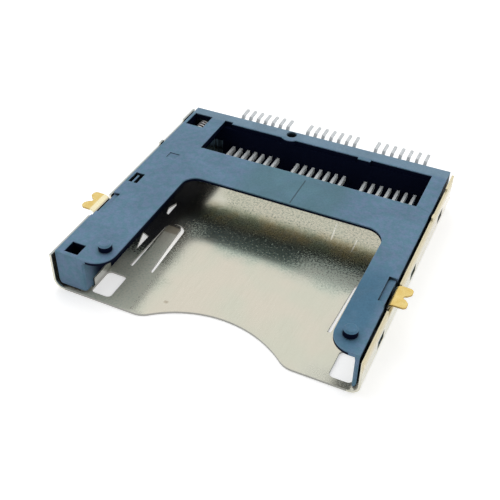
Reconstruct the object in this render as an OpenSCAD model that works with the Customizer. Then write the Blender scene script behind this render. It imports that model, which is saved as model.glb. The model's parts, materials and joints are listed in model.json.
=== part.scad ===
// Push-push socket for a removable memory card, lying on its steel cover
// with the side that meets the circuit board facing up.
// X runs across the socket, Y from the card mouth to the solder tails, Z away from the cover.

/* [Housing] */
// Depth of the housing from its mouth to its back face
housing_d = 32.5; // [31:0.5:36]
// Thickness of the plate that lies against the circuit board
deck_t = 0.7; // [0.6:0.05:1]
// Width of the block at the left side, which holds the ejector
block_w = 3.43; // [3.3:0.01:4.5]
// Thickness of the thin wall at the right side
thin_wall_t = 0.47; // [0.4:0.01:0.6]
// Thickness of the wall that carries the contacts
back_wall_t = 1.95; // [1.8:0.05:2.6]
// Depth of the cross bar behind the throat
bar_d = 14.15; // [12.5:0.25:16]
// Width of the left arm, over the ejector
left_arm_w = 6.2; // [5.8:0.1:7]
// Width of the right arm
right_arm_w = 3.35; // [3:0.05:4]
// Radius in the left corner of the throat
throat_r_left = 1.7; // [1:0.1:2.5]
// Radius in the right corner of the throat
throat_r_right = 2.2; // [1:0.1:3]
// Radius at the free corner of each arm
arm_tip_r = 2.3; // [1.5:0.1:2.6]
// Set-back of the deck's lower edge round the throat and the mouth
edge_relief = 0.3; // [0.1:0.05:0.4]
// Diameter of the locating pegs
peg_d = 1.5; // [1.2:0.1:1.8]
// Height of the locating pegs above the board face
peg_h = 0.9; // [0.5:0.1:1.2]
// Distance of the pegs behind the mouth
peg_back = 2.2; // [2:0.1:3]
// Distance of the left peg behind the right one
peg_stagger = 0.35; // [0:0.05:0.6]

/* [Card slot] */
// Width of the card that the slot takes
card_w = 29.6; // [29.4:0.05:29.8]
// Thickness of the card that the slot takes
card_t = 3.8; // [3.7:0.05:4]
// Play of the card at each side
card_side_play = 0.25; // [0.15:0.05:0.3]
// Play of the card across its thickness
card_top_play = 0.3; // [0.2:0.05:0.5]

/* [Contact window] */
// Distance of the window's rear edge from the back face
window_back = 1.75; // [1.6:0.05:2.2]
// Length of the window from front to rear
window_d = 6.58; // [5.5:0.1:7.5]
// Width of the window beyond the outermost contacts
window_margin = 1.55; // [1.2:0.05:1.8]

/* [Contacts] */
// Distance between neighbouring contacts
contact_pitch = 1.05; // [1:0.01:1.1]
// Distance between the last contact of a group and the first of the next
group_step = 2.76; // [2.4:0.02:2.9]
// Width of a contact pin
pin_w = 0.36; // [0.28:0.02:0.44]
// Height of a contact pin
pin_h = 0.65; // [0.45:0.05:0.8]
// Height of the pins' underside above the cover
pin_lift = 0.95; // [0.7:0.05:1.4]
// Reach of the pins in front of their wall
pin_reach = 3.4; // [2.8:0.1:4]
// Thickness of the strip that forms the tails
tail_t = 0.2; // [0.15:0.01:0.25]
// Width of a solder tail
tail_w = 0.38; // [0.3:0.02:0.5]
// Reach of the tails behind the housing
tail_reach = 2.5; // [2:0.1:3.2]
// Length of the flat foot at the end of a tail
tail_foot = 1.35; // [1:0.05:1.5]
// Height of the bend between a tail's root and its foot
tail_rise = 0.75; // [0.5:0.05:1]

/* [Shell] */
// Thickness of the cover's sheet
sheet_t = 0.25; // [0.2:0.01:0.3]
// Gap between the housing's sides and the cover's walls
wall_gap = 0.3; // [0.2:0.01:0.35]
// Outer radius of the long bends
bend_r = 1.2; // [0.8:0.1:1.6]
// Distance that the cover stands out in front of the housing
front_lip = 0.35; // [0.2:0.05:0.6]
// Drop of the walls' upper edge below the board face
wall_drop = 0.45; // [0.4:0.05:0.8]
// Radius of the finger cut-out
finger_r = 11.8; // [10:0.2:14]
// Depth of the finger cut-out
finger_depth = 3.25; // [2:0.05:3.6]
// Radius at the two ends of the finger cut-out
finger_fillet = 2.4; // [1:0.1:3]

/* [Spring tongues] */
// Length of the tongues that press on the card
tongue_l = 8.3; // [7:0.1:9]
// Width of a tongue at its root
tongue_root_w = 2.25; // [1.9:0.05:2.4]
// Width of a tongue at its free end
tongue_tip_w = 1.75; // [1.4:0.05:1.85]
// Rise of a tongue's free end above the sheet
tongue_rise = 0.45; // [0.2:0.05:0.6]
// Width of the slot round a tongue
tongue_slot = 0.36; // [0.25:0.01:0.45]
// Distance of the tongues' middle from the card's edges
tongue_in = 2.95; // [2.7:0.05:3.2]
// Distance of a tongue's root behind the mouth
tongue_root = 6; // [5.6:0.1:7]

/* [Hold-downs] */
// Distance of the hold-downs' middle behind the mouth
hold_back = 9.3; // [8.6:0.1:10.5]
// Width of a hold-down along the side
hold_w = 3.05; // [2.9:0.05:3.6]
// Reach of a hold-down's foot beyond the housing's side
hold_reach = 2; // [1.7:0.1:2.6]
// Thickness of the hold-downs' sheet
hold_t = 0.2; // [0.15:0.01:0.22]
// Width of the notch between a foot's two lobes
hold_notch = 1.1; // [0.8:0.05:1.3]

/* [Ejector] */
// Travel of the slider from the open stop to the deepest push
stroke = 4.8; // [4:0.1:5.2]
// Play between the slider and its channel
slider_play = 0.13; // [0.1:0.01:0.16]
// Thickness of the channel's two walls
channel_wall = 0.46; // [0.4:0.01:0.5]
// Outer diameter of the return spring
spring_od = 1.8; // [1.5:0.05:1.85]
// Wire diameter of the return spring
spring_wire = 0.24; // [0.2:0.01:0.28]
// Number of turns of the return spring
spring_turns = 25; // [16:1:25]
// Wire diameter of the cam follower
follower_d = 0.4; // [0.35:0.01:0.42]
// Length of the follower between its two bent ends
follower_l = 12.7; // [11:0.1:13]
// Sideways throw of the follower along the cam
cam_throw = 0.5; // [0.35:0.05:0.55]

/* [Hidden] */
$fn = 32;
sliver = 0.02;
groups = 3;
per_group = 7;
contact_count = groups * per_group;
FIXED_NODES = [
    "housing", "shell", "hold_down_left", "hold_down_right",
    "eject_slider", "eject_spring", "cam_follower"
];

function contact_name(i) = str("contact_", i < 10 ? "0" : "", i);

// Levels above the surface that the cover lies on
z_sheet = sheet_t;
z_roof = z_sheet + card_t + card_top_play;
z_face = z_roof + deck_t;
z_wall = z_face - wall_drop;

// Places along the depth
total_d = front_lip + housing_d + tail_reach;
y_lip = -total_d / 2;
y_front = y_lip + front_lip;
y_back = y_front + housing_d;
y_tails = y_back + tail_reach;
y_throat = y_back - bar_d;
y_contact_wall = y_back - back_wall_t;
y_window_back = y_back - window_back;
y_window_front = y_window_back - window_d;
y_peg = y_front + peg_back;
y_hold = y_front + hold_back;

// Places across the width
slot_w = card_w + 2 * card_side_play;
housing_w = block_w + slot_w + thin_wall_t;
x_side = housing_w / 2;
x_wall_in = x_side + wall_gap;
x_shell = x_wall_in + sheet_t;
x_slot_left = -x_side + block_w;
x_slot_right = x_side - thin_wall_t;
x_card = (x_slot_left + x_slot_right) / 2;
x_arm_left = -x_side + left_arm_w;
x_arm_right = x_side - right_arm_w;
x_hold = x_side + hold_reach;

// Contacts
group_span = (per_group - 1) * contact_pitch;
contact_span = groups * group_span + (groups - 1) * group_step;
x_first = x_card - contact_span / 2;
x_window_left = x_first - window_margin;
x_window_right = x_first + contact_span + window_margin;
function contact_x(i) =
    x_first + floor((i - 1) / per_group) * (group_span + group_step) + ((i - 1) % per_group) * contact_pitch;
z_pin = z_sheet + pin_lift;
contact_play = 0.02;
pin_point = 0.3;
pin_blunt = 0.15;
riser_in = 0.5;
groove_d = riser_in + tail_t;
z_tail_root = z_face - tail_rise - tail_t;
tail_bend = 0.25;
tail_ease = 0.15;
tail_tip_r = 0.1;

// Channel of the ejector
x_channel_left = -x_side + channel_wall;
x_channel_right = x_slot_left - channel_wall;
x_channel = (x_channel_left + x_channel_right) / 2;
channel_w = x_channel_right - x_channel_left;
channel_back_wall = 1;
y_channel_back = y_back - channel_back_wall;
slider_w = channel_w - 2 * slider_play;

// Cam follower, which lies between the cover and the slider
follower_play = 0.1;
follower_bore_play = 0.05;
pivot_back = 1.3;
z_follower = z_sheet + follower_play;
y_pivot = y_front + pivot_back;
y_cam = y_pivot + follower_l;
pivot_leg = 1.5;
cam_leg = 0.55;
pivot_bore_d = follower_d + 2 * follower_bore_play;

// Slider
z_slider = z_follower + follower_d + follower_play;
z_slider_top = z_roof - slider_play;
cam_play = 0.12;
cam_depth = cam_leg + cam_play;
lane_w = follower_d + 2 * cam_play;
cam_edge = 0.9;
y_slider_front = y_cam - stroke - cam_edge;
head_extra = 4;
slider_head_l = stroke + 2 * cam_edge + head_extra;
y_slider_head = y_slider_front + slider_head_l;
z_rail_top = z_slider_top - spring_od - 2 * slider_play;
hook_t = 1;
hook_reach = 1.05;
card_stop = 0.3;
y_hook_open = y_contact_wall - card_stop - stroke;
hook_h = 1.3;
front_stop_gap = 0.15;
y_channel_front = y_slider_front - front_stop_gap;
slider_bevel = 0.5;

// Cam track: distance of the rest notch from the deepest point, and the ends of the return lane
cam_rest = 0.75;
far_lead = 0.1;
home_share = 0.45;

// Return spring
spring_r = (spring_od - spring_wire) / 2;
z_spring = z_slider_top - spring_od / 2;
spring_gap = 0.05;
y_spring_front = y_slider_head + spring_gap;
y_spring_back = y_channel_back - spring_gap;

// Hold-downs
recess_d = 0.12;
recess_extra = 0.8;
hold_leg_h = 2.6;
hold_foot_drop = 0.05;
leg_play = 0.05;
x_leg_out = x_wall_in - leg_play;
hold_bend = 0.5;
hold_shoulder = hold_bend + hold_t + 0.1;
hold_notch_d = 0.43;
hold_notch_r = 0.27;
hold_waist = 0.4;
lobe_r = 0.45;
barb = 0.12;
barb_h = 0.8;

// Pegs, which stand as far from the card's middle as the right one does on its arm
peg_inset = 1.6;
peg_x = x_arm_right + peg_inset - x_card;
peg_tip = 0.2;

// Rear edge of the window
gate_d = 1.3;
gate_back = 0.73;
x_gate = x_card - 4.7;
lobe_out = 0.4;
lug_w = 1.6;
x_lug = x_card + 4.6;
corner_bay_w = 1.15;
corner_bay_d = 0.42;

// Height of the set-back part of the deck's edge
edge_relief_h = 0.25;

// Other holes in the deck
corner_window_d = 2.84;
corner_window_back = 1.33;
corner_window_side = 0.1;
access_w = 1.7;
access_depth = 2.4;
access_front = 0.45;
latch_w = 1.15;
latch_l = 1.95;
latch_cut = 0.46;
latch_ahead = 14.2;
latch_side = 0.1;

// Sunk fields in the deck
field_w = 0.9;
field_front = 1.55;
field_rear = 2.3;
field_depth = 0.3;
mark_x = -x_side + 1.9;
mark_w = 1.3;
mark_y = y_back - 12;
mark_l = 1.1;
mark_depth = 0.08;

// Lugs on the housing's sides, at three distances behind the mouth
lug_z = z_sheet + 1.6;
lug_h = 0.9;
lug_crest = [0.25, 0.45];
lug_grip = 0.12;
lug_out = wall_gap + lug_grip;
lug_len = 1.7;
lug_places = [5.4, 16.4, 27.2];

// Bite of the finger cut-out's fillets into its arc
fillet_bite = 0.002;

// Mouth of the card slot
mouth_chamfer = 0.3;
foot_step = 0.3;
foot_step_l = 1.2;

// Upper edge of the cover's walls
wall_end = 0.4;
rear_land = 3.4;
rear_land_drop = 0.12;
saddle = 0.8;
saddle_back = 8.7;
hold_gate_play = 0.6;
hold_gate_drop = 1.3;

// Front holes of the cover and the lances folded up beside them
front_hole_w = 2.4;
front_hole_l = 3.7;
front_hole_front = 0.5;
front_hole_r = 0.5;
lance_h = 1.05;
lance_ahead = 0.95;
lance_l = 3.2;
lance_r = 0.15;
lance_play = 0.06;
lance_in = 0.12;
lance_x = [card_w / 2 + lance_in, card_w / 2 + lance_in + sheet_t];

// Place of the spring tongues, and their shape seen from the side
tongue_x = card_w / 2 - tongue_in;
tongue_flat = 0.6;
tongue_crest = 1.1;
crest_flat = 0.15;
tongue_tip_share = 0.6;

// Leaf under the cam follower
presser_w = 0.9;
presser_l = 3.6;
presser_ahead = 3.4;
presser_slot = 0.3;

// Small openings in the sheet beside the block, measured from the block and the mouth
side_window = [[0.05, 11.75], [1.05, 11.3], [0.95, 8.6], [0.47, 10.25]];
side_slit = [[0.75, 16.05], [1.1, 15.9], [1.07, 17.95], [0.85, 18.4], [0.46, 17.15]];

module block(x, y, z) {
    translate([x[0], y[0], z[0]])
        cube([x[1] - x[0], y[1] - y[0], z[1] - z[0]]);
}

// Draws a section that lies in X and Z, from one Y to another
module along_y(y0, y1) {
    translate([0, y1, 0])
        rotate([90, 0, 0])
            linear_extrude(y1 - y0)
                children();
}

// Draws a section that lies in Y and Z, from one X to another
module along_x(x0, x1) {
    translate([x0, 0, 0])
        rotate([90, 0, 90])
            linear_extrude(x1 - x0)
                children();
}

// Draws a plan outline from one Z to another
module along_z(z0, z1) {
    translate([0, 0, z0])
        linear_extrude(z1 - z0)
            children();
}

// The scrap left outside a rounded corner that points to the origin
module corner_scrap(r) {
    difference() {
        translate([-sliver, -sliver])
            square(r + sliver);
        translate([r, r])
            circle(r, $fn = 48);
    }
}

module rounded_rect(x, y, r) {
    w = x[1] - x[0];
    d = y[1] - y[0];
    translate([x[0] + r, y[0]])
        square([w - 2 * r, d]);
    translate([x[0], y[0] + r])
        square([w, d - 2 * r]);
    for (cx = [x[0] + r, x[1] - r], cy = [y[0] + r, y[1] - r])
        translate([cx, cy])
            circle(r, $fn = 24);
}

module mirror_card(side) {
    translate([x_card, 0, 0])
        mirror([side < 0 ? 1 : 0, 0, 0])
            children();
}

// Points along an arc, with its centre, radius and two angles
function arc(c, r, a0, a1, steps = 6) =
    [for (i = [0:steps]) c + r * [cos(a0 + (a1 - a0) * i / steps), sin(a0 + (a1 - a0) * i / steps)]];

// Housing

// The deck seen from above, with its edge round the throat and the mouth set back
module deck_plan(back) {
    difference() {
        translate([-x_side, y_front + back])
            square([housing_w, housing_d - back]);
        throat_plan(back);
        translate([x_arm_left - back, y_front + back])
            mirror([1, 0])
                corner_scrap(arm_tip_r - back);
        translate([x_arm_right + back, y_front + back])
            corner_scrap(arm_tip_r - back);
        window_plan();
    }
}

module throat_plan(back) {
    x0 = x_arm_left - back;
    x1 = x_arm_right + back;
    y1 = y_throat + back;
    difference() {
        translate([x0, y_front - sliver])
            square([x1 - x0, y1 - y_front + sliver]);
        translate([x0, y1])
            mirror([0, 1])
                corner_scrap(throat_r_left + back);
        translate([x1, y1])
            rotate(180)
                corner_scrap(throat_r_right + back);
    }
}

// The window, with a half-round lobe, a lug and a corner bay along its rear edge
module window_plan() {
    difference() {
        union() {
            translate([x_window_left, y_window_front])
                square([x_window_right - x_window_left, window_d]);
            translate([x_window_left, y_window_back - sliver])
                square([corner_bay_w, corner_bay_d + sliver]);
        }
        translate([x_gate, y_back - gate_back])
            circle(window_back - gate_back + lobe_out);
        translate([x_lug, y_window_back - lobe_out])
            square([lug_w, 2 * lobe_out]);
    }
}

module deck_holes() {
    // Round gate hole beside the window
    translate([x_gate, y_back - gate_back, z_roof - sliver])
        cylinder(d = gate_d, h = deck_t + 2 * sliver);
    // Corner window over the rear end of the spring
    block([x_channel_left - corner_window_side, x_channel_right - slider_play],
        [y_back - corner_window_back - corner_window_d, y_back - corner_window_back],
        [z_roof - sliver, z_face + sliver]);
    // Square core-out over the follower's pivot
    block([x_channel - access_w / 2, x_channel + access_w / 2],
        [y_front + access_front, y_front + access_front + access_w],
        [z_face - access_depth, z_face + sliver]);
    latch_slot();
    marks();
}

// Slot that frees a small finger in the deck over the slider
module latch_slot() {
    y1 = y_front + latch_ahead + latch_l;
    x0 = x_channel_left - latch_side;
    along_z(z_roof - sliver, z_face + sliver)
        difference() {
            translate([x0, y1 - latch_l])
                square([latch_w, latch_l]);
            translate([x0 + latch_cut, y1 - latch_l - sliver])
                square([latch_w - 2 * latch_cut, latch_l - latch_cut]);
        }
}

// Shallow sunk fields in the deck
module marks() {
    // Beside the hold-downs
    for (side = [0, 1])
        mirror([side, 0, 0])
            block([x_side - field_w, x_side + sliver], [y_hold - field_front, y_hold + field_rear],
                [z_face - field_depth, z_face + sliver]);
    // Behind the slot over the slider
    block([mark_x, mark_x + mark_w], [mark_y, mark_y + mark_l], [z_face - mark_depth, z_face + sliver]);
}

module contact_openings() {
    for (i = [1:contact_count])
        translate([contact_x(i), 0, 0]) {
            block([-pin_w / 2 - contact_play, pin_w / 2 + contact_play],
                [y_contact_wall - sliver, y_back - groove_d + sliver],
                [z_pin - contact_play, z_pin + pin_h + contact_play]);
            block([-tail_w / 2 - contact_play, tail_w / 2 + contact_play],
                [y_back - groove_d, y_back + sliver],
                [z_pin - contact_play, z_tail_root + tail_t + contact_play]);
        }
}

// Pocket in the rear wall that takes the slider's hook at full push
module hook_pocket() {
    block([x_slot_left - channel_wall - sliver, x_slot_left + hook_reach + slider_play],
        [y_hook_open - slider_play, y_contact_wall + hook_t + slider_play],
        [z_sheet - sliver, z_slider + hook_h + slider_play]);
}

module ejector_channel() {
    block([x_channel_left, x_channel_right], [y_channel_front, y_channel_back], [z_sheet - sliver, z_roof]);
    // Groove in which the follower swings
    y_groove = y_pivot - follower_d;
    block([x_channel - cam_throw - follower_d, x_channel + cam_throw + follower_d],
        [y_groove, y_channel_front + sliver],
        [z_sheet - sliver, z_slider]);
    translate([x_channel, y_pivot, z_slider - sliver])
        cylinder(d = pivot_bore_d, h = pivot_leg);
    hook_pocket();
}

// Wedges on the housing's side that snap into windows in the cover
module side_lugs(side) {
    for (p = lug_places)
        along_y(y_front + p - lug_len / 2, y_front + p + lug_len / 2)
            polygon([
                [side * (x_side - sliver), lug_z],
                [side * (x_side + lug_out), lug_z + lug_h * lug_crest[0]],
                [side * (x_side + lug_out), lug_z + lug_h * lug_crest[1]],
                [side * (x_side - sliver), lug_z + lug_h]
            ]);
}

module hold_recess(side) {
    w = hold_w + 2 * recess_extra;
    y0 = y_hold - w / 2;
    mirror([side < 0 ? 1 : 0, 0, 0])
        block([x_side - recess_d, x_side + lug_out + sliver], [y0, y0 + w],
            [z_face - hold_leg_h - 2 * leg_play, z_face + sliver]);
}

module housing_body() {
    along_z(z_roof, z_roof + edge_relief_h)
        deck_plan(edge_relief);
    along_z(z_roof + edge_relief_h, z_face)
        deck_plan(0);
    // Block that holds the ejector
    block([-x_side, x_slot_left], [y_front, y_back], [z_sheet, z_face]);
    // Thin wall at the right
    block([x_slot_right, x_side], [y_front, y_back], [z_sheet, z_face]);
    // Wall that carries the contacts
    block([x_slot_left - sliver, x_slot_right + sliver], [y_contact_wall, y_back], [z_sheet, z_roof]);
    side_lugs(1);
    side_lugs(-1);
    for (side = [-1, 1])
        translate([x_card + side * peg_x, y_peg + (side < 0 ? peg_stagger : 0), z_face - sliver])
            peg();
}

module peg() {
    cylinder(d = peg_d, h = peg_h - peg_tip + sliver, $fn = 48);
    translate([0, 0, peg_h - peg_tip + sliver])
        cylinder(d1 = peg_d, d2 = peg_d - 2 * peg_tip, h = peg_tip, $fn = 48);
}

module housing() {
    color([0.36, 0.45, 0.54])
        difference() {
            housing_body();
            ejector_channel();
            deck_holes();
            contact_openings();
            hold_recess(1);
            hold_recess(-1);
            lower_edges();
            mouth_cuts();
            lance_recesses();
        }
}

// Rounds the lower edges of the sides, so that they lie inside the cover's bends
module lower_edges() {
    inner_r = bend_r - sheet_t;
    for (side = [-1, 1])
        mirror([side < 0 ? 1 : 0, 0, 0])
            along_y(y_front - sliver, y_back + sliver)
                translate([x_side, z_sheet])
                    mirror([1, 0])
                        corner_scrap(inner_r);
}

// Relief under the front of the block, and lead-ins at the mouth
module mouth_cuts() {
    block([-x_side - sliver, x_slot_left + sliver], [y_front - sliver, y_front + foot_step_l],
        [z_sheet - sliver, z_sheet + foot_step]);
    for (side = [-1, 1])
        translate([side < 0 ? x_slot_left : x_slot_right, y_front, z_sheet - sliver])
            rotate(45)
                translate([-mouth_chamfer / 2, -mouth_chamfer / 2, 0])
                    cube([mouth_chamfer, mouth_chamfer, card_t + card_top_play]);
}

// Shell

// Finger cut-out with rounded ends, open to the front
module finger_plan() {
    // The fillet circle stands on the front edge and just bites into the arc
    yc = finger_fillet;
    arc_y = finger_depth - finger_r;
    reach = finger_r + finger_fillet - fillet_bite;
    xf = sqrt(pow(reach, 2) - pow(yc - arc_y, 2));
    yt = arc_y + (yc - arc_y) * finger_r / reach;
    difference() {
        union() {
            translate([0, arc_y])
                circle(finger_r, $fn = 96);
            translate([-xf, -sliver])
                square([2 * xf, yt + sliver]);
        }
        for (side = [-1, 1])
            translate([side * xf, yc])
                circle(finger_fillet, $fn = 48);
    }
}

module shell_section() {
    difference() {
        union() {
            translate([-x_shell, bend_r])
                square([2 * x_shell, z_face - bend_r]);
            translate([-x_shell + bend_r, 0])
                square([2 * (x_shell - bend_r), bend_r + sliver]);
            for (side = [-1, 1])
                translate([side * (x_shell - bend_r), bend_r])
                    circle(bend_r, $fn = 64);
        }
        union() {
            inner_r = bend_r - sheet_t;
            translate([-x_wall_in, bend_r])
                square([2 * x_wall_in, z_face]);
            translate([-x_wall_in + inner_r, sheet_t])
                square([2 * (x_wall_in - inner_r), bend_r]);
            for (side = [-1, 1])
                translate([side * (x_wall_in - inner_r), bend_r])
                    circle(inner_r, $fn = 64);
        }
    }
}

// Material taken off the upper edge of the walls
module wall_trim() {
    y_land = y_back - rear_land;
    hold_gate = hold_w / 2 + hold_gate_play;
    for (side = [-1, 1])
        mirror([side < 0 ? 1 : 0, 0, 0]) {
            x = [x_side + wall_gap / 2, x_shell + sliver];
            block(x, [y_lip - sliver, y_back - saddle_back - saddle], [z_wall, z_face + sliver]);
            block(x, [y_back - saddle_back, y_land], [z_wall, z_face + sliver]);
            block(x, [y_back - saddle_back - saddle - sliver, y_back + sliver],
                [z_face - rear_land_drop, z_face + sliver]);
            block(x, [y_back - wall_end, y_back + sliver], [bend_r + sheet_t, z_face + sliver]);
            // Passage of the hold-down
            block(x, [y_hold - hold_gate, y_hold + hold_gate], [z_face - hold_gate_drop, z_face + sliver]);
        }
}

// Windows in the walls for the housing's lugs
module wall_windows() {
    play = 0.15;
    for (p = lug_places)
        block([-x_shell - sliver, x_shell + sliver],
            [y_front + p - lug_len / 2 - play, y_front + p + lug_len / 2 + play],
            [lug_z - play, lug_z + lug_h + play]);
}

module front_hole_plan() {
    rounded_rect([lance_x[0] - front_hole_w, lance_x[0] + sliver],
        [y_front + front_hole_front, y_front + front_hole_front + front_hole_l], front_hole_r);
}

// Upright tab folded up at the outer edge of the front hole
module lance() {
    y0 = y_front + front_hole_front + lance_ahead;
    along_x(lance_x[0], lance_x[1])
        difference() {
            translate([y0, z_sheet - sliver])
                square([lance_l, lance_h + sliver]);
            translate([y0, z_sheet + lance_h])
                mirror([0, 1])
                    corner_scrap(lance_r);
            translate([y0 + lance_l, z_sheet + lance_h])
                rotate(180)
                    corner_scrap(lance_r);
        }
}

// Room for the lances in the block and in the thin wall
module lance_recesses() {
    y0 = y_front + front_hole_front + lance_ahead - lance_play;
    for (side = [-1, 1])
        mirror_card(side)
            block([lance_x[0] - lance_play - sliver, lance_x[1] + lance_play],
                [y0, y0 + lance_l + 2 * lance_play],
                [z_sheet - sliver, z_sheet + lance_h + lance_play]);
}

// Plan of a tongue grown by a margin at its sides and free end
module tongue_plan(grow) {
    y0 = y_front + tongue_root;
    y1 = y0 + tongue_l;
    r = tongue_tip_w / 2 + grow;
    wr = tongue_root_w / 2 + grow;
    yr = y1 - tongue_tip_w / 2;
    polygon([
        [tongue_x - wr, y0], [tongue_x + wr, y0],
        [tongue_x + r, yr], [tongue_x - r, yr]
    ]);
    translate([tongue_x, yr])
        circle(r);
}

// Side section of a tongue, which rises to its rounded end
module tongue_section() {
    y0 = y_front + tongue_root;
    y1 = y0 + tongue_l;
    y_bend = y0 + tongue_flat;
    y_crest = y1 - tongue_crest;
    z_tip = tongue_rise * tongue_tip_share;
    polygon([
        [y0 - sliver, 0], [y_bend, 0],
        [y_crest, tongue_rise], [y1, z_tip],
        [y1, z_tip + sheet_t], [y_crest + crest_flat, tongue_rise + sheet_t],
        [y_crest - crest_flat, tongue_rise + sheet_t], [y_bend, sheet_t], [y0 - sliver, sheet_t]
    ]);
}

module tongue() {
    intersection() {
        along_z(-sliver, z_sheet + tongue_rise + sliver)
            union() {
                tongue_plan(0);
                translate([tongue_x - tongue_root_w / 2, y_front + tongue_root - sliver])
                    square([tongue_root_w, 2 * sliver]);
            }
        along_x(tongue_x - tongue_root_w, tongue_x + tongue_root_w)
            tongue_section();
    }
}

// Openings cut through the cover's flat sheet
module plate_cuts() {
    for (side = [-1, 1])
        mirror_card(side)
            along_z(-sliver, z_sheet + sliver) {
                front_hole_plan();
                tongue_plan(tongue_slot);
            }
    along_z(-sliver, z_sheet + sliver) {
        translate([x_card, y_lip])
            finger_plan();
        translate([x_slot_left, y_front])
            polygon(side_window);
        translate([x_slot_left, y_front])
            polygon(side_slit);
        presser_cut();
    }
}

// Slot that frees a leaf under the cam follower
module presser_cut() {
    y0 = y_pivot + presser_ahead;
    difference() {
        translate([x_channel - presser_w / 2 - presser_slot, y0])
            square([presser_w + 2 * presser_slot, presser_l + presser_slot]);
        translate([x_channel - presser_w / 2, y0 - sliver])
            square([presser_w, presser_l + sliver]);
    }
}

module shell() {
    color([0.78, 0.77, 0.72]) {
        difference() {
            along_y(y_lip, y_back)
                shell_section();
            wall_trim();
            wall_windows();
            plate_cuts();
        }
        for (side = [-1, 1])
            mirror_card(side) {
                tongue();
                lance();
            }
    }
}

// Hold-downs

// Side section of a hold-down: leg, bend and foot
module hold_section() {
    z1 = z_face - hold_foot_drop;
    xo = x_leg_out;
    xi = xo - hold_t;
    c = [xo + hold_bend, z1 - hold_t - hold_bend];
    polygon(concat(
        [[x_hold, z1 - hold_t], [x_hold, z1]],
        arc(c, hold_bend + hold_t, 90, 180),
        [[xi, z1 - hold_leg_h], [xo, z1 - hold_leg_h]],
        arc(c, hold_bend, 180, 90)
    ));
}

// Half of the notch's outline, from its bottom to the rounded end of a lobe or back
function notch_side(side) =
    let (h = side * hold_notch / 2, e = lobe_r / 3)
    let (out = [[x_hold - hold_notch_d, side * hold_notch_r], [x_hold - e, h],
        [x_hold - e / 4, h + side * e], [x_hold + sliver, h + side * 2 * e]])
    side < 0 ? out : [for (i = [3:-1:0]) out[i]];

// The foot seen from above: two lobes with a notch between them
module hold_plan() {
    difference() {
        rounded_rect([x_side - hold_w / 2, x_hold], [-hold_w / 2, hold_w / 2], lobe_r);
        translate([x_hold - hold_notch_d, 0])
            circle(hold_notch_r);
        polygon(concat(notch_side(-1), notch_side(1)));
    }
}

// The leg seen from the side: narrower than the foot, with a barb at each edge
module leg_plan() {
    z1 = z_face - hold_foot_drop;
    w = hold_w - 2 * hold_waist;
    translate([-w / 2, z1 - hold_leg_h])
        square([w, hold_leg_h - hold_bend - hold_t]);
    translate([-w / 2 - barb, z1 - hold_leg_h + barb_h / 2])
        square([w + 2 * barb, barb_h]);
    translate([-hold_w / 2, z1 - hold_shoulder])
        square([hold_w, hold_shoulder + sliver]);
}

module hold_down(side) {
    color([0.9, 0.76, 0.42])
        translate([0, y_hold, 0])
            mirror([side < 0 ? 1 : 0, 0, 0])
                intersection() {
                    along_y(-hold_w / 2, hold_w / 2)
                        hold_section();
                    along_z(0, z_face + sliver)
                        hold_plan();
                    along_x(x_side - hold_w / 2, x_hold + sliver)
                        leg_plan();
                }
}

module hold_down_left() {
    hold_down(-1);
}

module hold_down_right() {
    hold_down(1);
}

// Ejector

// One lane of the cam track, round at both ends
module lane(a, b) {
    d = b - a;
    translate([a[0], a[1], 0])
        rotate(atan2(d[1], d[0]))
            translate([0, -lane_w / 2, 0])
                cube([norm(d), lane_w, cam_depth + sliver]);
    for (p = [a, b])
        translate([p[0], p[1], 0])
            cylinder(d = lane_w, h = cam_depth + sliver);
}

// Heart-shaped track in the slider's underside: out along one side, a rest notch, back along the other
module cam_track() {
    start = [x_channel, y_cam];
    deep = [x_channel - cam_throw, y_cam - stroke];
    notch = [x_channel, y_cam - stroke + cam_rest];
    far = [x_channel + cam_throw, y_cam - stroke + far_lead];
    home = [x_channel + cam_throw, y_cam - stroke * home_share];
    translate([0, 0, z_slider - sliver]) {
        lane(start, deep);
        lane(deep, notch);
        lane(notch, far);
        lane(far, home);
        lane(home, start);
    }
}

module eject_slider() {
    x0 = x_channel - slider_w / 2;
    x1 = x_channel + slider_w / 2;
    color([0.13, 0.14, 0.16])
        difference() {
            union() {
                // Head that carries the cam
                block([x0, x1], [y_slider_front, y_slider_head], [z_slider, z_slider_top]);
                // Rail beside the card, under the spring
                block([x0, x1], [y_slider_head - sliver, y_hook_open + hook_t], [z_slider, z_rail_top]);
                // Hook behind the card's corner
                block([x1 - sliver, x_slot_left + hook_reach], [y_hook_open, y_hook_open + hook_t],
                    [z_slider, z_slider + hook_h]);
            }
            cam_track();
            // Bevel on the head's upper front edge
            translate([x_channel, y_slider_front, z_slider_top])
                rotate([45, 0, 0])
                    cube([2 * slider_w, slider_bevel, slider_bevel], center = true);
        }
}

// Share of the spring's length at a share of its turns: the end turns lie close
closed = 1 / spring_turns;
function spring_rise(t) =
    let (wire = spring_wire / (y_spring_back - y_spring_front))
    t < closed ? wire * t / closed
    : t > 1 - closed ? 1 - wire * (1 - t) / closed
    : wire + (1 - 2 * wire) * (t - closed) / (1 - 2 * closed);

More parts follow.
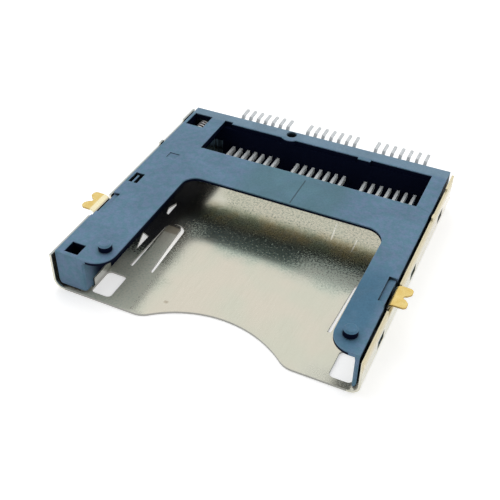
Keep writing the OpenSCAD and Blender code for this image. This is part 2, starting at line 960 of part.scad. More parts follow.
module eject_spring() {
    turn_steps = 12;
    sides = 6;
    n = spring_turns * turn_steps;
    length = y_spring_back - y_spring_front - spring_wire;
    points = [
        for (k = [0:n])
            let (t = k / n, a = 360 * spring_turns * t)
            let (y = y_spring_front + spring_wire / 2 + length * spring_rise(t))
            for (s = [0:sides - 1])
                let (b = 360 * s / sides, r = spring_r + spring_wire / 2 * cos(b))
                [x_channel + r * cos(a), y + spring_wire / 2 * sin(b), z_spring + r * sin(a)]
    ];
    walls = [
        for (k = [0:n - 1], s = [0:sides - 1], half = [0, 1])
            let (s1 = (s + 1) % sides, a = k * sides, b = a + sides)
            half == 0 ? [a + s, a + s1, b + s1] : [a + s, b + s1, b + s]
    ];
    color([0.72, 0.73, 0.75])
        polyhedron(points, concat(
            walls,
            [[for (s = [sides - 1:-1:0]) s]],
            [[for (s = [0:sides - 1]) n * sides + s]]
        ));
}

module cam_follower() {
    r = follower_d / 2;
    zc = z_follower + r;
    color([0.7, 0.7, 0.72]) {
        // Shank with its two bent ends
        translate([x_channel, y_pivot, zc])
            rotate([-90, 0, 0])
                cylinder(r = r, h = follower_l);
        for (y = [y_pivot, y_cam])
            translate([x_channel, y, zc])
                sphere(r);
        translate([x_channel, y_pivot, zc])
            cylinder(r = r, h = pivot_leg);
        translate([x_channel, y_cam, zc])
            cylinder(r = r, h = r + follower_play + cam_leg);
    }
}

// Contacts

// Side section of the tail strip, from the riser to the foot
module tail_section() {
    y_riser = y_back - groove_d;
    y_foot = y_tails - tail_foot;
    z_low = z_tail_root;
    z_high = z_face - tail_t;
    y_slope = y_foot - tail_rise;
    polygon([
        [y_riser, z_pin],
        [y_riser, z_low + tail_t],
        [y_slope - tail_bend / 2, z_low + tail_t],
        [y_foot - tail_bend, z_high + tail_t * (1 - tail_ease)],
        [y_foot, z_high + tail_t],
        [y_tails, z_high + tail_t],
        [y_tails, z_high],
        [y_foot + tail_bend / 2, z_high],
        [y_slope + tail_bend, z_low + tail_t * tail_ease],
        [y_slope, z_low],
        [y_riser + tail_t, z_low],
        [y_riser + tail_t, z_pin]
    ]);
}

// Side section of a pin, pointed at its front end
module pin_section() {
    y0 = y_contact_wall - pin_reach;
    y1 = y_back - groove_d + sliver;
    z1 = z_pin + pin_h;
    polygon([
        [y0, z_pin + pin_blunt], [y0 + pin_point, z_pin], [y1, z_pin],
        [y1, z1], [y0 + pin_point, z1], [y0, z1 - pin_blunt]
    ]);
}

module contact(i) {
    color([0.74, 0.73, 0.7])
        translate([contact_x(i), 0, 0]) {
            along_x(-pin_w / 2, pin_w / 2)
                pin_section();
            difference() {
                along_x(-tail_w / 2, tail_w / 2)
                    tail_section();
                for (side = [0, 1])
                    mirror([side, 0, 0])
                        translate([tail_w / 2, y_tails, z_face - tail_t - sliver])
                            linear_extrude(tail_t + 2 * sliver)
                                rotate(180)
                                    corner_scrap(tail_tip_r);
            }
        }
}

housing();
shell();
hold_down_left();
hold_down_right();
eject_slider();
eject_spring();
cam_follower();
for (i = [1:contact_count])
    contact(i);
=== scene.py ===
"""Looks of a push-push memory card socket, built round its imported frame.

Objects are in metres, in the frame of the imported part: +Z up, the origin in the middle of the
plan on the underside of the steel cover, and the card mouth towards -Y. The materials place
their detail in millimetres of the same frame, and colours are display values from 0 to 255.
"""

import json
import math

import bpy
from mathutils import Matrix, Vector

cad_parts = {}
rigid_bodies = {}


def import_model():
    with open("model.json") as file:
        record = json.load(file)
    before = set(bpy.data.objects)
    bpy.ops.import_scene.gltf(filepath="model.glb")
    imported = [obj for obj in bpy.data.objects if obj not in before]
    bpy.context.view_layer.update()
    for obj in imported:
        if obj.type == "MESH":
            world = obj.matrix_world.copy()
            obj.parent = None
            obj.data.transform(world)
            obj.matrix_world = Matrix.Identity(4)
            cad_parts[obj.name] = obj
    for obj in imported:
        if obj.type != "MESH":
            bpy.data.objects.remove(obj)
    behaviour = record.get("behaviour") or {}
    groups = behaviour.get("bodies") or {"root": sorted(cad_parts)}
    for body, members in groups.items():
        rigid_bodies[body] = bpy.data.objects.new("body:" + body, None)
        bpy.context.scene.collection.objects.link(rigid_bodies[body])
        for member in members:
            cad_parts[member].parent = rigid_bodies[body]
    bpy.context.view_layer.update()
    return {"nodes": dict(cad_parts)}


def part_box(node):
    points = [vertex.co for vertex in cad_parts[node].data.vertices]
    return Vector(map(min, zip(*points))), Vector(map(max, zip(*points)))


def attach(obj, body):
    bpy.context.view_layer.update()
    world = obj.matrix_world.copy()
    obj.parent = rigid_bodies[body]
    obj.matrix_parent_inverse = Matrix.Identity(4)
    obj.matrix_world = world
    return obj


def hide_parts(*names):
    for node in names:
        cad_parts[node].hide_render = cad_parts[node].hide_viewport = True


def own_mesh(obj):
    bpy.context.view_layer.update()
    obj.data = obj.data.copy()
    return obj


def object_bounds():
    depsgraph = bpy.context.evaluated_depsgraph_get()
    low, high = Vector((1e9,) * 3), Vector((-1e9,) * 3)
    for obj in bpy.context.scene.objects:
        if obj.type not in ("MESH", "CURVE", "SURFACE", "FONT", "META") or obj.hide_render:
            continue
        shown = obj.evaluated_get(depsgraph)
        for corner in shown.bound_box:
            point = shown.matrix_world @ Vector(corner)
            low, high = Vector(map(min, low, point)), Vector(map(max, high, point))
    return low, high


MM = 0.001
WHITE = (1, 1, 1, 1)

# Radius of the edges, and height of the grain, on plastic, cover, hold-downs and wires
PLASTIC_EDGE, PLASTIC_GRAIN = 0.07 * MM, 0.025 * MM
COVER_EDGE, COVER_GRAIN = 0.04 * MM, 0.03 * MM
TAB_EDGE, TAB_GRAIN = 0.05 * MM, 0.015 * MM
WIRE_EDGE, WIRE_GRAIN = 0.03 * MM, 0.012 * MM

# Camera: azimuth 0 looks along +Y, and lengths in pixels are those of a 500 pixel frame
CAMERA_AZIMUTH = 25.745
CAMERA_ELEVATION = 40.452
CAMERA_ROLL = 0.083
CAMERA_AT = Vector((28.835, -68.028, 61.425)) * MM
CAMERA_CLIP = (MM, 10)
FRAME_PX = 500
FOCAL_PX = 818.05
SHIFT_PX = (13.22, -2.30)
SENSOR_MM = 36

# Return spring: wire and turns as in the solid, pitch of the closed end turns in wires, and
# how finely the coil and the wire are divided
SPRING_WIRE = 0.24 * MM
SPRING_TURNS = 25
SPRING_CLOSED_PITCH = 1.15
SPRING_TURN_STEPS = 32
SPRING_WIRE_SIDES = 12

# Plastics: two mottled tints, the pale tone of edges that are partly worn and partly a painted
# highlight, and the tone of their painted shade
HOUSING_TINTS = ((90, 130, 151), (104, 131, 161))
HOUSING_WORN_EDGE_AND_HIGHLIGHT = (150, 176, 194)
HOUSING_PAINTED_SHADE = (9, 15, 36)
SLIDER_TINTS = ((20, 22, 27), (25, 27, 32))
SLIDER_WORN_EDGE_AND_HIGHLIGHT = (44, 48, 56)
SLIDER_PAINTED_SHADE = (6, 9, 18)
PLASTIC_IOR = 1.5
# Shine of the plastics and of the cover's dull share, and the shine that is left on faces with
# painted shade
DULL_SHINE = 0.3
PAINTED_SHADE_SHINE = 0.03
# Painted shade: how dark plastic is painted in gaps and corners, and how far such a corner
# reaches
CORNER_SHADE = 0.06
CORNER_SHADE_REACH = 1.2 * MM
# Height of the face towards the board, above which only the pegs stand
DECK_Z = 5.05
# Painted shade: inner faces of the housing painted near-black where shade falls, as boxes with
# a soft
# border: contact window, card space under the arms, the same under the bar in two boxes that
# fade towards the mouth, side wall of the card space, spring window, core hole
PAINTED_SHADE_BOXES = (
    ((-12.6, 6.6, 0), (15.6, 14.2, 5.0), 0.1),
    ((-13.3, -18, 0), (15.9, 1.3, 4.95), 0.1),
    ((-13.3, 1.3, 0), (15.9, 8.4, 4.95), (0.1, 3.5, 0.1)),
    ((-13.3, 4.8, 0), (15.9, 13.8, 4.95), 0.1),
    ((-13.75, -17.3, 0), (-13.1, 16.0, 4.95), (0.1, 2.8, 0.1)),
    ((-16.8, 10.8, 0), (-14.0, 14.0, 5.0), 0.1),
    ((-16.9, -17.2, 0), (-14.2, -14.8, 5.0), 0.1),
)
# Zones of another tint, as plan rectangles with a soft border and a tint: middle of the bar,
# darker;
# front of the right arm, darker as painted shade; strip before the tails, lighter
ZONES = (
    ((-6.0, -2.0), (9.0, 8.5), (3.0, 2.0), (86, 125, 140)),
    ((12.2, -20.0), (17.2, -2.0), (1.4, 6.0), (70, 115, 143)),
    ((-20.0, 13.3), (20.0, 20.0), 0.6, (116, 144, 164)),
)
# Fine parting lines of the mould on the board face: two plan points and how marked they are
PARTING_LINES = (((2.1, 1.1), (2.1, 6.1), 1.0), ((15.3, 6.95), (17.0, 6.3), 0.35))
PARTING_WIDTH = 0.16

# Steel of the cover: base tints, draw streaks, matt flecks with a teal tint that is partly a
# painted reflection, dull patches, edges, scratches
STEEL_BASE = (214, 209, 194)
STEEL_TINTS = ((216, 210, 195), (210, 210, 194))
STREAK_TINT = (188, 184, 168)
FLECK_AND_REFLECTION_TINT = (132, 158, 146)
DULL_TINT = (218, 218, 206)
STEEL_EDGE = (214, 220, 226)
SCRATCH_TINT = (246, 244, 236)
# Marks on the inner floor, as plan rectangles with a soft border: duller patches with their
# strength, speckled skin with its strength and a tint that is a painted reflection of the bar,
# olive staining that is partly a painted reflection of the bar's underside, and brownish spots
# with their strength, one on the open floor and one on the tip of the left tongue
DULL_PATCHES = (
    ((-16.6, -25), (-6.0, -7.0), 4.0, 0.85),
    ((-16.9, -20), (-6.0, -16.8), 1.0, 1.0),
    ((-12.6, -13.0), (-5.6, 0.4), (3.0, 3.0), 0.35),
    ((-11.4, -15), (-8.9, -3.4), 0.4, 0.85),
    ((3.0, -7.0), (22.0, 1.0), 4.0, 0.5),
    ((10.0, -25.0), (20.0, -14.5), 2.5, 0.5),
)
SPECKLED_WITH_REFLECTION = (
    ((-11.0, -6.0), (20, 3.5), 3.0, 0.45, (150, 186, 174)),
    ((-8.5, 0), (20, 16), 2.5, 0.5, (190, 184, 160)),
    ((-16.6, -25), (-6, -4), 4.0, 0.5, (160, 186, 166)),
)
STAIN_AND_REFLECTION = ((-10.5, -1.6), (20, 4.2), 2.4)
STAIN_AND_REFLECTION_TINTS = ((150, 134, 78), (112, 122, 84))
SPOTS = (((-5.6, -15.05), (-4.9, -14.45), 0.25, 0.45), ((-11.3, -5.0), (-8.8, -3.3), 0.3, 0.6))
SPOT_TINT = (140, 124, 98)
# Height under which upward faces belong to the inner floor
FLOOR_RISE = 2.0
# Sheared edges of the flat sheet: how far they lie aside, and two tints by height
FLAT_HALF = 16.2
SHEARED_Z = (0.3, 0.8)
SHEARED_TINTS = ((150, 150, 148), (186, 188, 184))
# Upper edges of the side walls: their height, and the tints of the left one, grey as painted
# shade, and of the right one, cream as a painted reflection
WALL_TOP_Z = 4.3
WALL_TOP_SHADE_AND_REFLECTION = ((172, 178, 176), (236, 224, 188))
# Outer face of the right wall: a painted reflection, cream and dull towards its upper edge
RIGHT_WALL_REFLECTION_X = (17.3, 17.4)
RIGHT_WALL_REFLECTION_Z = (2.6, 4.2)
RIGHT_WALL_REFLECTION_TINT = (238, 226, 190)
# Fine light scratches, with their width
SCRATCHES = (
    ((6.5, 5.9), (6.95, 2.6), 0.16),
    ((9.7, 4.0), (9.8, 1.6), 0.14),
)

# Gold of the hold-downs, a painted highlight on the bend of the left one, and their bare legs
# under the deck
GOLD_BASE = (230, 202, 126)
GOLD_TINTS = ((227, 196, 116), (236, 212, 140))
GOLD_EDGE = (176, 144, 82)
GOLD_SHEARED = (150, 124, 74)
GOLD_BEND_HIGHLIGHT = ((-17.9, -12), (-17.1, -4), 0.25)
GOLD_BEND_HIGHLIGHT_TINT = (252, 246, 214)
LEG_Z = (DECK_Z - 0.4, DECK_Z - 0.2)
LEG_TINT = (206, 202, 188)

# Pins and wires: the two tints of their draw lines. The pins are plated bright as far as the
# rear wall, and their tails behind it are tinned
CONTACT_TINTS = ((196, 200, 202), (220, 224, 226))
PLATED_TINT = (238, 243, 245)
PLATED_TO_Y = 13.4
WIRE_TINTS = ((206, 204, 204), (232, 230, 230))

# Light: the surroundings are dark above the front, like the room over a photographer's table
DARK_TOWARDS = Vector((0.3, -0.95, 0)).normalized()
DARK_ASIDE = (-0.15, 0.45)
DARK_ABOVE = (0.3, 0.6)
DARK_DEPTH = 0.8
KEY_AT = (-0.14, 0.16, 0.28)
KEY_SIZE = 0.24
KEY_W = 0.22
FLOOR_GLOW = 0.5
FLOOR_COLOR = (0.8, 0.8, 0.8, 1)
FLOOR_HALF = 1.5
FLOOR_GAP = 0.01 * MM


def linear(display):
    """A linear colour from 0 to 255 display values."""
    def one(c):
        c /= 255
        return c / 12.92 if c <= 0.04045 else ((c + 0.055) / 1.055) ** 2.4
    return (*(one(c) for c in display), 1)


class Nodes:
    """Short calls for the nodes of one tree."""

    # Places of the colour sockets of a mix node
    MIX_COLORS = (6, 7)
    MIX_RESULT = 2

    def __init__(self, tree):
        self.tree = tree

    def node(self, kind, **settings):
        made = self.tree.nodes.new(kind)
        for key, value in settings.items():
            setattr(made, key, value)
        return made

    def feed(self, socket, value):
        """Links an output to a socket, or sets the socket's own value."""
        if isinstance(value, bpy.types.NodeSocket):
            self.tree.links.new(value, socket)
        else:
            socket.default_value = value

    def vector(self, operation, a, b=None, scale=None):
        made = self.node("ShaderNodeVectorMath", operation=operation)
        self.feed(made.inputs[0], a)
        if b is not None:
            self.feed(made.inputs[1], b)
        if scale is not None:
            self.feed(made.inputs["Scale"], scale)
        return made.outputs["Value" if operation == "DOT_PRODUCT" else "Vector"]

    def math(self, operation, a, b=0.0, clamp=False):
        made = self.node("ShaderNodeMath", operation=operation, use_clamp=clamp)
        self.feed(made.inputs[0], a)
        self.feed(made.inputs[1], b)
        return made.outputs[0]

    def times(self, value, *others):
        """Product of all values."""
        for other in others:
            value = self.math("MULTIPLY", value, other)
        return value

    def most(self, value, *others):
        """Highest of all values."""
        for other in others:
            value = self.math("MAXIMUM", value, other)
        return value

    def remap(self, value, low, high, to_low=0.0, to_high=1.0):
        made = self.node("ShaderNodeMapRange", interpolation_type="SMOOTHSTEP")
        for name, given in (
            ("Value", value), ("From Min", low), ("From Max", high),
            ("To Min", to_low), ("To Max", to_high),
        ):
            self.feed(made.inputs[name], given)
        return made.outputs["Result"]

    def mix(self, share, a, b):
        """A mix of two colours, each an output or a tuple of display values."""
        made = self.node("ShaderNodeMix", data_type="RGBA")
        self.feed(made.inputs["Factor"], share)
        for place, color in zip(self.MIX_COLORS, (a, b)):
            self.feed(made.inputs[place], linear(color) if isinstance(color, tuple) else color)
        return made.outputs[self.MIX_RESULT]

    def over(self, color, tint, *shares):
        """A colour with a tint laid over it, by the product of the shares."""
        return self.mix(self.times(*shares), color, tint)

    def axis(self, vector, name):
        made = self.node("ShaderNodeSeparateXYZ")
        self.feed(made.inputs[0], vector)
        return made.outputs[name]

    def rays(self, *kinds):
        """1 for rays of the named kinds."""
        path = self.node("ShaderNodeLightPath")
        return self.most(*(path.outputs[f"Is {kind} Ray"] for kind in kinds))


class Surface(Nodes):
    """A material's node tree. Its scale unit is the millimetre."""

    def __init__(self, name, color, roughness, metallic=0.0):
        self.material = bpy.data.materials.new(name)
        self.material.use_nodes = True
        super().__init__(self.material.node_tree)
        self.shader = self.tree.nodes["Principled BSDF"]
        self.color(linear(color))
        self.roughness(roughness)
        self.metallic(metallic)
        place = self.node("ShaderNodeTexCoord")
        self.mm = self.vector("SCALE", place.outputs["Object"], scale=1 / MM)
        self.face = self.node("ShaderNodeNewGeometry").outputs["True Normal"]

    def color(self, value):
        self.feed(self.shader.inputs["Base Color"], value)

    def roughness(self, value):
        self.feed(self.shader.inputs["Roughness"], value)

    def metallic(self, value):
        self.feed(self.shader.inputs["Metallic"], value)

    def shine(self, value):
        self.feed(self.shader.inputs["Specular IOR Level"], value)

    def normal(self, value):
        self.feed(self.shader.inputs["Normal"], value)

    def stretch(self, x, y, z):
        """Object place in millimetres, stretched per axis."""
        return self.vector("MULTIPLY", self.mm, (x, y, z))

    def texture(self, scale, detail=3.0, rough=0.5, place=None, distortion=0.0):
        made = self.node("ShaderNodeTexNoise")
        for name, given in (
            ("Vector", place or self.mm), ("Scale", scale), ("Detail", detail),
            ("Roughness", rough), ("Distortion", distortion),
        ):
            self.feed(made.inputs[name], given)
        return made

    def noise(self, scale, **kind):
        return self.texture(scale, **kind).outputs["Fac"]

    def cloud(self, scale, low, high, to_low=0.0, to_high=1.0, **kind):
        """Noise whose range from low to high is spread over another range."""
        return self.remap(self.noise(scale, **kind), low, high, to_low, to_high)

    def wandering(self, scale, reach):
        """Object place in millimetres with a noisy shift, for zones whose borders wander."""
        shift = self.texture(scale, detail=1.0).outputs["Color"]
        shift = self.vector("SUBTRACT", shift, (0.5, 0.5, 0.5))
        return self.vector("ADD", self.mm, self.vector("SCALE", shift, scale=reach))

    def bump(self, height, strength, distance, normal):
        made = self.node("ShaderNodeBump")
        for name, given in (
            ("Height", height), ("Strength", strength), ("Distance", distance),
            ("Normal", normal),
        ):
            self.feed(made.inputs[name], given)
        self.normal(made.outputs["Normal"])

    def rounded(self, radius):
        """Normal with its edges rounded to a radius, and a mask that is 1 on those edges."""
        made = self.node("ShaderNodeBevel", samples=6)
        self.feed(made.inputs["Radius"], radius)
        flat = self.vector("DOT_PRODUCT", made.outputs["Normal"], self.face)
        edge = self.remap(self.math("SUBTRACT", 1.0, flat), 0.002, 0.12)
        return made.outputs["Normal"], edge

    def openness(self, reach, low, high, deepest):
        """1 on open faces, falling to a given value far inside holes, gaps and corners. The
        plastics use it to paint shade in corners.
        """
        made = self.node("ShaderNodeAmbientOcclusion", samples=16)
        self.feed(made.inputs["Distance"], reach)
        return self.remap(made.outputs["AO"], low, high, deepest, 1.0)

    def level(self):
        """1 on level faces, 0 on upright ones."""
        return self.math("ABSOLUTE", self.axis(self.face, "Z"))

    def within(self, low, high, soft, place=None):
        """1 within a box or a rectangle of the plan, falling to 0 over a soft border inside it.

        The border is one width, or a tuple of one per axis.
        """
        share = 1.0
        borders = soft if isinstance(soft, tuple) else (soft,) * len(low)
        for name, a, b, border in zip("XYZ", low, high, borders):
            value = self.axis(place or self.mm, name)
            rise = self.remap(value, a, a + border)
            fall = self.remap(value, b - border, b, 1.0, 0.0)
            share = self.times(share, rise, fall)
        return share

    def scored(self, start, end, width, fade=0.2):
        """1 along a straight line between two points of the plan, on faces that look up."""
        start, end = Vector((*start, 0)), Vector((*end, 0))
        length = (end - start).length
        run = (end - start).normalized()
        local = self.vector("SUBTRACT", self.mm, start)
        along = self.vector("DOT_PRODUCT", local, run)
        across = self.vector("DOT_PRODUCT", local, Vector((-run.y, run.x, 0)))
        return self.times(
            self.remap(self.math("ABSOLUTE", across), 0.3 * width, 0.7 * width, 1.0, 0.0),
            self.remap(along, 0, fade),
            self.remap(along, length - fade, length, 1.0, 0.0),
            self.math("GREATER_THAN", self.axis(self.face, "Z"), 0.9),
        )


def moulded_plastic(name, tints, worn_edge_and_highlight, painted_shade_tint, roughness, zones=(), lines=()):
    """Glass-filled plastic: mottled tints with soft zones, fine grain, pale edges partly worn
    and partly painted highlight, painted shade.
    """
    s = Surface(name, tints[0], roughness)
    s.feed(s.shader.inputs["IOR"], PLASTIC_IOR)
    s.shine(DULL_SHINE)
    normal, edge = s.rounded(PLASTIC_EDGE)
    color = s.mix(s.cloud(1.4, 0.36, 0.64, rough=0.6), *tints)
    patchy = s.cloud(0.5, 0.3, 0.6, 0.7, 1.0)
    # Zones of another tint; the darker one on the front of the right arm is painted shade
    for low, high, soft, tint in zones:
        color = s.over(color, tint, s.within(low, high, soft), patchy)
    wide = s.cloud(0.3, 0.3, 0.7, 0.9, 1.06, distortion=0.5)
    fine = s.cloud(5, 0.3, 0.7, 0.92, 1.06, rough=0.6)
    color = s.vector("SCALE", color, scale=s.times(wide, fine))
    # Pale edges: partly wear, partly a painted edge highlight
    color = s.over(color, worn_edge_and_highlight, edge, 0.5)
    # Painted shade in the corners, and dark parting lines
    line = 0.0
    for start, end, share in lines:
        line = s.most(line, s.times(s.scored(start, end, PARTING_WIDTH), share))
    shade = s.times(s.openness(CORNER_SHADE_REACH, 0.4, 0.75, CORNER_SHADE), s.remap(line, 0, 1, 1.0, 0.45))
    color = s.vector("SCALE", color, scale=shade)
    # Painted shade: near-black in the boxes and on the sides of the pegs, with less shine there
    upright = s.remap(s.level(), 0.3, 0.7, 1.0, 0.0)
    painted_shade = s.times(upright, s.remap(s.axis(s.mm, "Z"), DECK_Z, DECK_Z + 0.1))
    for low, high, soft in PAINTED_SHADE_BOXES:
        painted_shade = s.most(painted_shade, s.within(low, high, soft))
    s.color(s.mix(painted_shade, color, painted_shade_tint))
    s.shine(s.remap(painted_shade, 0, 1, DULL_SHINE, PAINTED_SHADE_SHINE))
    s.roughness(s.cloud(3, 0.3, 0.7, roughness - 0.07, roughness + 0.07))
    grain = s.math("ADD", s.noise(11), s.times(s.noise(1.1, detail=2), 0.8))
    grain = s.math("SUBTRACT", grain, s.times(line, 2))
    s.bump(grain, 0.2, PLASTIC_GRAIN, normal)
    return s


def cover_steel():
    """Nickel-plated sheet: mirror-like, matt specks, dull towards the mouth, sheared edges,
    painted reflections and shade.
    """
    s = Surface("cover_steel_look", STEEL_BASE, 0.3)
    s.shine(DULL_SHINE)
    normal, edge = s.rounded(COVER_EDGE)
    height = s.axis(s.mm, "Z")
    across = s.axis(s.mm, "X")
    streak = s.noise(1, detail=4, rough=0.6, place=s.stretch(7, 0.35, 7))
    color = s.mix(s.cloud(0.16, 0.35, 0.65, detail=2), *STEEL_TINTS)
    color = s.over(color, STREAK_TINT, s.remap(streak, 0.35, 0.75), 0.12)

    # Matt specks in the skin, whose teal tint is partly a painted reflection of the bar, and
    # wider dull patches, on the inner floor
    looks_up = s.math("GREATER_THAN", s.axis(s.face, "Z"), 0.5)
    lies = s.times(looks_up, s.math("LESS_THAN", height, FLOOR_RISE))
    speck = s.cloud(4.0, 0.38, 0.74, rough=0.6)
    patch = skin = 0.0
    for low, high, soft, share in DULL_PATCHES:
        patch = s.most(patch, s.times(s.within(low, high, soft), share))
    patch = s.times(patch, lies)
    wander = s.wandering(0.3, 5)
    for low, high, soft, share, tint in SPECKLED_WITH_REFLECTION:
        cover = s.times(s.within(low, high, soft, wander), share, lies)
        color = s.over(color, tint, cover, 0.9)
        skin = s.most(skin, cover)
    fleck = s.times(speck, skin)
    matt = s.times(patch, s.remap(speck, 0, 1, 0.7, 0.9))
    dull = s.math("ADD", fleck, matt, clamp=True)
    color = s.over(color, DULL_TINT, patch, 0.8)
    color = s.over(color, FLECK_AND_REFLECTION_TINT, fleck)

    # Olive staining beside the bar, partly a painted reflection of its underside, and small
    # spots
    blotch = s.cloud(1.6, 0.2, 0.6, 0.5, 1.0, detail=5, rough=0.7)
    stain_and_reflection = s.times(s.within(*STAIN_AND_REFLECTION), blotch, lies)
    tone = s.mix(s.cloud(0.25, 0.4, 0.6), *STAIN_AND_REFLECTION_TINTS)
    color = s.over(color, tone, stain_and_reflection, 0.8)
    dull = s.most(dull, s.times(stain_and_reflection, 0.35))
    for low, high, soft, share in SPOTS:
        color = s.over(color, SPOT_TINT, s.within(low, high, soft), share)

    # Sheared edges of the flat sheet; a painted reflection on the outer face of the right wall;
    # painted shade on the top of the left wall and a painted reflection on the top of the right
    # one
    side = s.math("ABSOLUTE", across)
    cut = s.times(s.math("LESS_THAN", s.level(), 0.35), s.math("LESS_THAN", side, FLAT_HALF))
    color = s.over(color, STEEL_EDGE, edge, 0.5)
    color = s.over(color, s.mix(s.remap(height, *SHEARED_Z), *SHEARED_TINTS), cut, 0.8)
    right_wall_reflection = s.times(s.remap(across, *RIGHT_WALL_REFLECTION_X), s.remap(height, *RIGHT_WALL_REFLECTION_Z))
    color = s.over(color, RIGHT_WALL_REFLECTION_TINT, right_wall_reflection, 0.9)
    dull = s.most(dull, s.times(right_wall_reflection, 0.7))
    top = s.times(
        s.math("GREATER_THAN", height, WALL_TOP_Z), s.math("GREATER_THAN", s.level(), 0.7)
    )
    color = s.over(color, s.mix(s.remap(across, -1, 1), *WALL_TOP_SHADE_AND_REFLECTION), top, 0.8)

    scratch = 0.0
    for start, end, width in SCRATCHES:
        scratch = s.most(scratch, s.scored(start, end, width))
    s.color(s.over(color, SCRATCH_TINT, scratch, 0.5))
    s.metallic(s.remap(dull, 0, 1, 0.95, 0.1))
    s.roughness(s.math("ADD", s.remap(dull, 0, 1, 0.17, 0.5), s.times(cut, 0.2)))
    relief = s.times(s.remap(skin, 0, 1, 0.05, 0.8), s.remap(patch, 0, 0.5, 1.0, 0.3))
    grain = s.math("ADD", s.times(streak, 0.2), s.times(speck, relief))
    s.bump(grain, 0.06, COVER_GRAIN, normal)
    return s


def gold_plate():
    """Gold flash over nickel, satin: brownish outline, painted highlight on the left bend, bare
    nickel leg.
    """
    s = Surface("gold_plate_look", GOLD_BASE, 0.36, metallic=0.95)
    normal, edge = s.rounded(TAB_EDGE)
    color = s.mix(s.cloud(1.4, 0.3, 0.7), *GOLD_TINTS)
    color = s.over(color, GOLD_EDGE, edge, 0.6)
    color = s.over(color, GOLD_SHEARED, s.math("LESS_THAN", s.level(), 0.02), 0.7)
    # Painted highlight along the bend of the left hold-down
    color = s.over(color, GOLD_BEND_HIGHLIGHT_TINT, s.within(*GOLD_BEND_HIGHLIGHT), 0.8)
    s.color(s.over(color, LEG_TINT, s.remap(s.axis(s.mm, "Z"), *LEG_Z, 1.0, 0.0)))
    s.roughness(s.cloud(7, 0.3, 0.7, 0.2, 0.27, detail=2))
    s.bump(s.noise(14, detail=2), 0.12, TAB_GRAIN, normal)
    return s


def drawn_metal(name, tints, roughness, along, metallic=1.0, plated_to=None):
    """Plated metal with fine draw lines, bright and less mirror-like up to a place on Y."""
    s = Surface(name, tints[1], roughness, metallic)
    normal, _ = s.rounded(WIRE_EDGE)
    lines = s.noise(1, place=s.stretch(*along))
    color = s.mix(s.remap(lines, 0.3, 0.7), *tints)
    if plated_to is not None:
        plated = s.remap(s.axis(s.mm, "Y"), plated_to - 0.2, plated_to, 1.0, 0.0)
        color = s.over(color, PLATED_TINT, plated)
        s.metallic(s.remap(plated, 0, 1, metallic, 0.0))
    s.color(color)
    s.roughness(s.cloud(8, 0.3, 0.7, roughness - 0.06, roughness + 0.08, detail=2))
    s.bump(lines, 0.15, WIRE_GRAIN, normal)
    return s


def dress(obj, surface):
    obj.data.materials.clear()
    obj.data.materials.append(surface.material)


def add_object(name, data):
    obj = bpy.data.objects.new(name, data)
    bpy.context.scene.collection.objects.link(obj)
    return obj


def coil(name, centre, radius, start, end):
    """The spring's wire as one tube round an axis along Y, with its end turns closed."""
    wire, sides = SPRING_WIRE, SPRING_WIRE_SIDES
    steps = SPRING_TURNS * SPRING_TURN_STEPS
    length = end - start - wire
    tight = SPRING_CLOSED_PITCH * wire / length
    closed = 1 / SPRING_TURNS
    verts, faces = [], []
    for k in range(steps + 1):
        t = k / steps
        if t < closed:
            rise = tight * t / closed
        elif t > 1 - closed:
            rise = 1 - tight * (1 - t) / closed
        else:
            rise = tight + (1 - 2 * tight) * (t - closed) / (1 - 2 * closed)
        angle = 2 * math.pi * SPRING_TURNS * t
        y = start + wire / 2 + length * rise
        for i in range(sides):
            b = 2 * math.pi * i / sides
            r = radius + wire / 2 * math.cos(b)
            verts.append((
                centre.x + r * math.cos(angle),
                y + wire / 2 * math.sin(b),
                centre.z + r * math.sin(angle),
            ))
    for k in range(0, steps * sides, sides):
        for i in range(sides):
            j = (i + 1) % sides
            faces.append((k + i, k + j, k + sides + j, k + sides + i))
    faces.append(tuple(reversed(range(sides))))
    faces.append(tuple(steps * sides + i for i in range(sides)))
    mesh = bpy.data.meshes.new(name)
    mesh.from_pydata(verts, [], faces)
    mesh.validate()
    for p in mesh.polygons:
        p.use_smooth = len(p.vertices) == 4
    return add_object(name, mesh)


def return_spring(surface):
    """The return spring as a smooth coil in the place of its coarser solid."""
    low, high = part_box("eject_spring")
    centre = (low + high) / 2
    radius = ((high.x - low.x) - SPRING_WIRE) / 2
    spring = coil("return_spring", centre, radius, low.y, high.y)
    dress(spring, surface)
    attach(spring, "socket")
    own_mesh(spring)
    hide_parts("eject_spring")


def add_camera():
    """The photograph's view: direction, distance, roll and off-centre framing."""
    azimuth, elevation, roll = (
        math.radians(a) for a in (CAMERA_AZIMUTH, CAMERA_ELEVATION, CAMERA_ROLL)
    )
    back = Vector((
        math.sin(azimuth) * math.cos(elevation),
        -math.cos(azimuth) * math.cos(elevation),
        math.sin(elevation),
    ))
    right = Vector((math.cos(azimuth), math.sin(azimuth), 0))
    up = back.cross(right)
    right, up = (
        right * math.cos(roll) + up * math.sin(roll),
        up * math.cos(roll) - right * math.sin(roll),
    )
    data = bpy.data.cameras.new("camera")
    data.sensor_fit = "HORIZONTAL"
    data.sensor_width = SENSOR_MM
    data.lens = FOCAL_PX / FRAME_PX * SENSOR_MM
    data.shift_x, data.shift_y = (px / FRAME_PX for px in SHIFT_PX)
    data.clip_start, data.clip_end = CAMERA_CLIP
    camera = add_object("camera", data)
    turn = Matrix((right, up, back)).transposed().to_4x4()
    camera.matrix_world = Matrix.Translation(CAMERA_AT) @ turn
    bpy.context.scene.camera = camera


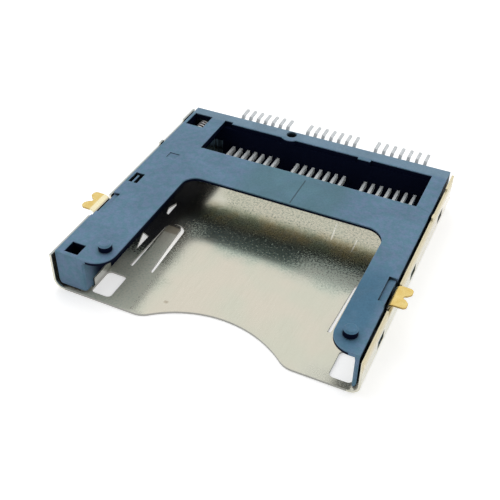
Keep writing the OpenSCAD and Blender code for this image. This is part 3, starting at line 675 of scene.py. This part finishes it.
def add_world():
    """White surroundings with a dark upper front. The camera itself sees plain white."""
    world = bpy.data.worlds.new("studio")
    bpy.context.scene.world = world
    world.use_nodes = True
    n = Nodes(world.node_tree)
    background = n.tree.nodes["Background"]
    n.feed(background.inputs["Color"], WHITE)
    direction = n.node("ShaderNodeTexCoord").outputs["Generated"]
    front = n.remap(n.vector("DOT_PRODUCT", direction, DARK_TOWARDS), *DARK_ASIDE)
    above = n.remap(n.axis(direction, "Z"), *DARK_ABOVE)
    lit = n.math("SUBTRACT", 1.0, n.times(front, above, DARK_DEPTH))
    n.feed(background.inputs["Strength"], n.most(lit, n.rays("Camera")))


def add_floor():
    """White table: it glows just enough to be seen as white, and keeps soft shadows."""
    h = FLOOR_HALF
    mesh = bpy.data.meshes.new("floor")
    mesh.from_pydata([(-h, -h, 0), (h, -h, 0), (h, h, 0), (-h, h, 0)], [], [(0, 1, 2, 3)])
    floor = add_object("floor", mesh)
    floor.location.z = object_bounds()[0].z - FLOOR_GAP
    material = bpy.data.materials.new("floor")
    material.use_nodes = True
    n = Nodes(material.node_tree)
    glow = n.times(n.rays("Camera", "Glossy", "Transmission"), FLOOR_GLOW)
    shader = n.tree.nodes["Principled BSDF"]
    for name, given in (
        ("Base Color", FLOOR_COLOR), ("Roughness", 0.9), ("Specular IOR Level", 0.0),
        ("Emission Color", WHITE), ("Emission Strength", glow),
    ):
        n.feed(shader.inputs[name], given)
    mesh.materials.append(material)


def add_lamp():
    """A soft round lamp above and behind the left of the part, not seen in its gloss."""
    data = bpy.data.lights.new("key", "AREA")
    data.shape = "DISK"
    data.size = KEY_SIZE
    data.energy = KEY_W
    lamp = add_object("key", data)
    lamp.location = KEY_AT
    lamp.rotation_euler = Vector(KEY_AT).to_track_quat("Z", "Y").to_euler()
    lamp.visible_glossy = False


for left_over in list(bpy.data.objects):
    bpy.data.objects.remove(left_over)

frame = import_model()

plastic = moulded_plastic(
    "housing_look", HOUSING_TINTS, HOUSING_WORN_EDGE_AND_HIGHLIGHT, HOUSING_PAINTED_SHADE, 0.55,
    zones=ZONES, lines=PARTING_LINES,
)
slider_plastic = moulded_plastic("slider_look", SLIDER_TINTS, SLIDER_WORN_EDGE_AND_HIGHLIGHT, SLIDER_PAINTED_SHADE, 0.5)
steel = cover_steel()
gold = gold_plate()
tin = drawn_metal(
    "contact_look", CONTACT_TINTS, 0.45, (9, 0.5, 9), metallic=0.25, plated_to=PLATED_TO_Y
)
wire_steel = drawn_metal("wire_look", WIRE_TINTS, 0.3, (6, 6, 6), metallic=0.5)

LOOKS = {
    "housing": plastic,
    "shell": steel,
    "hold_down_left": gold,
    "hold_down_right": gold,
    "eject_slider": slider_plastic,
    "cam_follower": wire_steel,
}
for node_name, look in LOOKS.items():
    dress(frame["nodes"][node_name], look)
for node_name, node in frame["nodes"].items():
    if node_name.startswith("contact_"):
        dress(node, tin)
return_spring(wire_steel)

add_camera()
add_world()
add_floor()
add_lamp()
bpy.context.scene.view_settings.view_transform = "Standard"
